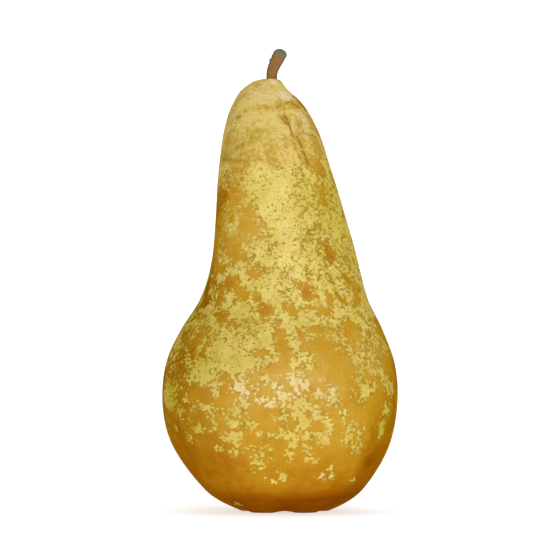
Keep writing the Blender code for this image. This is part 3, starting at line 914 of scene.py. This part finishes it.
def stalk_points():
    """A round section carried along the stalk's way, with a radius that grows towards the tip.

    The section gains ridges, a sum of cosines of the angle whose phase drifts with height, and knots, bells
    of the height times a raised cosine of the angle. The tip closes as a quarter circle that is roughened by
    chance. Also gives the share of the length, and how far to the left or right every vertex lies, which the
    bark's painted shade down both sides follows.
    """
    way = np.array(STALK_WAY) * STALK_LENGTH
    way = np.vstack([(0, 0, -STALK_ROOT), way]) + (*STALK_PLACE, BODY_HEIGHT)
    lengths = chord_lengths(way)
    run = lengths[-1] * np.sin(np.linspace(0, math.pi / 2, STALK_ROWS))
    line = smooth(lengths, way, run)
    tangent = np.gradient(line, run, axis=0)
    tangent[-1] = tangent[-2]
    tangent /= np.linalg.norm(tangent, axis=1, keepdims=True)
    side = np.cross((0, 1, 0), tangent)
    side /= np.linalg.norm(side, axis=1, keepdims=True)
    back = np.cross(tangent, side)
    above = np.clip((run - lengths[1]) / (lengths[-1] - lengths[1]), 0, 1)[:, None]
    radius = STALK_FOOT_RADIUS + (STALK_TIP_RADIUS - STALK_FOOT_RADIUS) * above
    angle = math.tau * np.arange(STALK_COLUMNS) / STALK_COLUMNS
    for waves in STALK_RIDGES:
        start = stalk_chance.uniform(0, math.tau)
        drift = stalk_chance.uniform(-STALK_TWIST, STALK_TWIST)
        radius = radius + STALK_RIDGE_HEIGHT / waves * np.cos(waves * angle + start + drift * above)
    for share, reach, height, turn in STALK_KNOTS:
        facing = 0.5 + 0.5 * np.cos(angle - math.radians(turn))
        radius = radius + height * bell((above - share) / reach) * facing**2
    into_tip = np.clip(1 - (lengths[-1] - run) / STALK_TIP_ROUNDING, 0, 1)[:, None]
    radius = radius * np.sqrt(np.maximum(1 - into_tip**2, 0))
    radius = radius * np.clip(run / STALK_ROOT_ROUNDING, 0, 1)[:, None]
    outward = np.cos(angle)[None, :, None] * side[:, None] + np.sin(angle)[None, :, None] * back[:, None]
    rough = stalk_chance.normal(0, STALK_TIP_ROUGHNESS, (STALK_ROWS, STALK_COLUMNS)) * into_tip
    points = line[:, None] + radius[..., None] * outward + rough[..., None] * tangent[:, None]
    points[0] = line[0]
    points[-1] = line[-1]
    painted_side_shade = np.abs(np.cos(angle)) ** 4
    return points, np.broadcast_to(above, rough.shape), np.broadcast_to(painted_side_shade, rough.shape)


BARK = linear(147, 100, 30)
BARK_RED = linear(150, 96, 42)
BARK_DARK = linear(104, 86, 44)
TIP_GREY = linear(104, 104, 90)
STREAK_WAVES = 1500
STREAK_STRETCH = (1, 1, 0.22)
BARK_WAVES = 380
BARK_BUMP = 0.00015


def stalk_material():
    """Brown bark with darker lengthwise streaks and painted shade down both sides, greying to a dull broken
    tip.
    """
    made, tree, shader = new_material("stalk_bark")
    place = add_node(tree, "TexCoord", {}, "Object")
    streaks = noise(scaled(place, STREAK_STRETCH), STREAK_WAVES, 3, 0.6)
    patches = noise(place, BARK_WAVES, 2)
    # The streaks darken further down the stalk's left and right sides, as painted shade
    streaks_and_side_shade = plus(streaks, 0.40, value_of(tree, "painted_side_shade"))
    grey = plus(value_of(tree, "above"), 0.35, patches, 0.5)
    colour = painted(
        BARK,
        (ramp(patches, 0.4, 0.65), BARK_RED),
        (ramp(streaks_and_side_shade, 0.52, 0.76), BARK_DARK),
        (ramp(grey, 0.62, 0.95), TIP_GREY),
    )
    fill(shader, {"Base Color": colour, "Roughness": 0.75, "Normal": bumped(streaks, BARK_BUMP, 0.7)})
    return made


points, above, painted_side_shade = stalk_points()
# The rows run upwards, so they are turned over to face outwards
stalk_mesh = closed_mesh("stalk_bark", stalk_material(), points[::-1])
keep_values(stalk_mesh, "above", above[::-1])
keep_values(stalk_mesh, "painted_side_shade", painted_side_shade[::-1])
stalk = add_object(stalk_mesh)
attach(stalk, "root")
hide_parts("stalk")


# The calyx
# What is left of the flower, dried in the basin: a short cup with five curled sepals and a tuft of withered
# stamens. It grew with the fruit and is dull, brittle and dark.

CALYX_MIDDLE = (SPINE[0][1], 0.0)
CALYX_TOP = BASIN_DEPTH + 0.0004
SEPALS = 5
SEPAL_LENGTH = 0.0056
SEPAL_HALF_WIDTH = 0.0015
SEPAL_THICKNESS = 0.00035
SEPAL_DROP = 0.003
SEPAL_START = 0.0006
SEPAL_HANG = 0.001
SEPAL_EDGE_DROP = 0.0006
SEPAL_RIB = 0.00012
SEPAL_RIB_WIDTH = 0.0003
SEPAL_CURL_IN = 0.0005
SEPAL_CURL_UP = 0.001
SEPAL_LOWEST = 0.0003
SEPAL_ROWS = 26
SEPAL_COLUMNS = 28
calyx_chance = np.random.default_rng(8)


def sepal_points(angle, length, curl):
    """One sepal as a flattened tube: an ellipse carried outwards from the cup along a drooping line.

    Its half width swells and tapers to a point, its middle line falls with the way out to the power 1.6 and
    curls up again with the fourth power, and its edges bend down with the square of the way across.
    """
    out = np.linspace(0, 1, SEPAL_ROWS)[:, None]
    around = math.tau * np.arange(SEPAL_COLUMNS) / SEPAL_COLUMNS
    half_width = SEPAL_HALF_WIDTH * np.sqrt(np.clip(1 - out**2.2, 0, 1)) * (0.75 + 0.25 * np.sin(3 * out))
    across = half_width * np.cos(around)
    lift = SEPAL_THICKNESS * np.sin(around) * np.clip(1.2 - out, 0.2, 1)
    rib = SEPAL_RIB * bell(across / SEPAL_RIB_WIDTH)
    edge = SEPAL_EDGE_DROP * (across / SEPAL_HALF_WIDTH) ** 2 * (1 + 0.6 * np.sin(9 * out + curl))
    x = SEPAL_START + out * length - SEPAL_CURL_IN * curl * out**3
    middle = CALYX_TOP - SEPAL_HANG - SEPAL_DROP * out**1.6 + SEPAL_CURL_UP * curl * out**4
    z = np.maximum(middle - edge - rib + lift, SEPAL_LOWEST)
    cosine, sine = math.cos(angle), math.sin(angle)
    x, across = np.broadcast_arrays(x, across)
    points = np.stack([x * cosine - across * sine, x * sine + across * cosine, z], axis=-1)
    points[0] = points[0].mean(axis=0)
    points[-1] = points[-1].mean(axis=0)
    return points + (*CALYX_MIDDLE, 0)


STAMENS = 18
STAMEN_RADIUS = 0.00013
STAMEN_BOW = 0.0002
STAMEN_ROWS = 10
STAMEN_COLUMNS = 8


def stamen_points(start, end):
    """A thin rod from start to end that tapers, is pinched at both ends and bows sideways by a sine."""
    share = np.linspace(0, 1, STAMEN_ROWS)[:, None]
    start, end = np.array(start), np.array(end)
    sideways = np.cross(end - start, (0.3, 0.5, 0.8))
    sideways /= np.linalg.norm(sideways)
    forward = (end - start) / np.linalg.norm(end - start)
    other = np.cross(forward, sideways)
    line = start + share * (end - start) + STAMEN_BOW * np.sin(math.pi * share) * sideways
    around = math.tau * np.arange(STAMEN_COLUMNS) / STAMEN_COLUMNS
    ends = np.sqrt(np.sin(math.pi * np.clip(share, 0, 1)))
    size = STAMEN_RADIUS * (1 - 0.4 * share) * np.clip(ends * 1.6, 0, 1)
    outward = np.cos(around)[:, None] * sideways + np.sin(around)[:, None] * other
    return line[:, None] + size[..., None] * outward[None]


CALYX_BROWN = linear(92, 62, 34)
CALYX_GREY = linear(128, 108, 80)
CALYX_BLACK = linear(42, 28, 18)
CALYX_WAVES = 700
FIBRE_WAVES = 2600
CALYX_BUMP = 0.0001


def calyx_material():
    """Dull dried leaf: dark brown with greyer veins and almost black tips."""
    made, tree, shader = new_material("calyx_dry")
    place = add_node(tree, "TexCoord", {}, "Object")
    fibres = noise(place, FIBRE_WAVES, 2)
    greyer = ramp(noise(place, CALYX_WAVES, 3, 0.6), 0.4, 0.62)
    colour = painted(CALYX_BROWN, (greyer, CALYX_GREY), (ramp(fibres, 0.5, 0.66), CALYX_BLACK))
    fill(shader, {"Base Color": colour, "Roughness": 0.88, "Normal": bumped(fibres, CALYX_BUMP, 0.6)})
    return made


sepals = []
for number in range(SEPALS):
    angle = math.tau * number / SEPALS + calyx_chance.uniform(-0.12, 0.12)
    length = SEPAL_LENGTH * calyx_chance.uniform(0.85, 1)
    sepals.append(sepal_points(angle, length, calyx_chance.uniform(0.3, 1.3)))
dry = calyx_material()
calyx = add_object(closed_mesh("calyx_sepals", dry, *sepals))
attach(calyx, "root")
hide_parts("calyx")

tuft = []
for number in range(STAMENS):
    angle = math.tau * number / STAMENS + calyx_chance.uniform(-0.15, 0.15)
    foot = calyx_chance.uniform(0.0004, 0.0010)
    reach = calyx_chance.uniform(0.0006, 0.0019)
    low = calyx_chance.uniform(0.0016, 0.0028)
    start = (CALYX_MIDDLE[0] + foot * math.cos(angle), foot * math.sin(angle), CALYX_TOP)
    end = (CALYX_MIDDLE[0] + reach * math.cos(angle + 0.3), reach * math.sin(angle + 0.3), low)
    tuft.append(stamen_points(start, end))
stamens = add_object(closed_mesh("calyx_stamens", dry, *tuft))
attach(stamens, "root")


# The floor, the light and the camera
# A pale floor that curves up behind the pear, a broad soft light from the front and a little above, and a
# long lens level with the middle of the pear.

# The floor runs to the bend, curves up a quarter circle and ends as a wall, in metres
FLOOR_HALF_WIDTH = 12.0
FLOOR_FRONT = -12.0
FLOOR_BEND = 1.2
BEND_RADIUS = 1.0
BEND_STEPS = 24
WALL_TOP = 3.5
PAPER_GREY = 0.6
PAPER_GLOW = 0.62
SKY_STRENGTH = 0.14


def backdrop_points():
    """A floor, a quarter circle and a wall, extruded to both sides."""
    bend = np.linspace(0, math.pi / 2, BEND_STEPS)
    line = [(FLOOR_FRONT, 0.0)]
    line += list(zip(FLOOR_BEND + BEND_RADIUS * np.sin(bend), BEND_RADIUS * (1 - np.cos(bend))))
    line += [(FLOOR_BEND + BEND_RADIUS, WALL_TOP)]
    y, z = np.array(line).T
    x = np.array((-FLOOR_HALF_WIDTH, FLOOR_HALF_WIDTH))
    return np.stack(np.broadcast_arrays(x, y[:, None], z[:, None]), axis=-1)


backdrop_grid = backdrop_points()
steps = np.arange(len(backdrop_grid) - 1)
backdrop_faces = np.stack([2 * steps, 2 * steps + 1, 2 * steps + 3, 2 * steps + 2], axis=-1)
backdrop_mesh = bpy.data.meshes.new("backdrop")
backdrop_mesh.from_pydata(backdrop_grid.reshape(-1, 3).tolist(), [], backdrop_faces.tolist())
backdrop_mesh.shade_smooth()
paper, tree, shader = new_material("backdrop_paper")
fill(shader, {"Base Color": (PAPER_GREY, PAPER_GREY, PAPER_GREY, 1), "Roughness": 0.9})
fill(shader, {"Specular IOR Level": 0.1, "Emission Color": (1, 1, 1, 1), "Emission Strength": PAPER_GLOW})
backdrop_mesh.materials.append(paper)
backdrop = add_object(backdrop_mesh)


def add_light(name, place, aim, size, power):
    """A square area light at a place, turned to face a point."""
    light = bpy.data.lights.new(name, "AREA")
    light.size = size
    light.energy = power
    lamp = add_object(light)
    lamp.location = place
    direction = np.subtract(aim, place)
    away = math.hypot(direction[0], direction[1])
    lamp.rotation_euler = (math.atan2(away, -direction[2]), 0, math.atan2(-direction[0], direction[1]))
    return lamp


# Place, aim and size of each light in metres, and its power in watts
MIDDLE = (0.0, 0.0, 0.075)
add_light("front_softbox", (0.16, -1.15, 0.36), MIDDLE, 0.5, 7.05)
add_light("top_softbox", (0.0, -0.1, 1.3), MIDDLE, 1.0, 6.0)
wall_light = add_light("wall_light", (0, 0.4, 1.5), (0, 2.2, 0.1), 0.8, 6.3)
wall_light.data.spread = math.radians(90)
world = bpy.data.worlds.new("studio")
world.use_nodes = True
sky = world.node_tree.nodes["Background"]
fill(sky, {"Color": (1, 1, 1, 1), "Strength": SKY_STRENGTH})
bpy.context.scene.world = world

PHOTO_WIDTH = 560
SENSOR = 36.0
lens = bpy.data.cameras.new("camera")
lens.sensor_width = SENSOR
lens.lens = SENSOR * CAMERA_DISTANCE / (PHOTO_WIDTH * PIXEL)
lens.clip_end = 20
camera = add_object(lens)
camera.location = (0, -CAMERA_DISTANCE, EYE_HEIGHT)
camera.rotation_euler = (math.pi / 2, 0, 0)
bpy.context.scene.camera = camera
bpy.context.scene.view_settings.view_transform = "Standard"
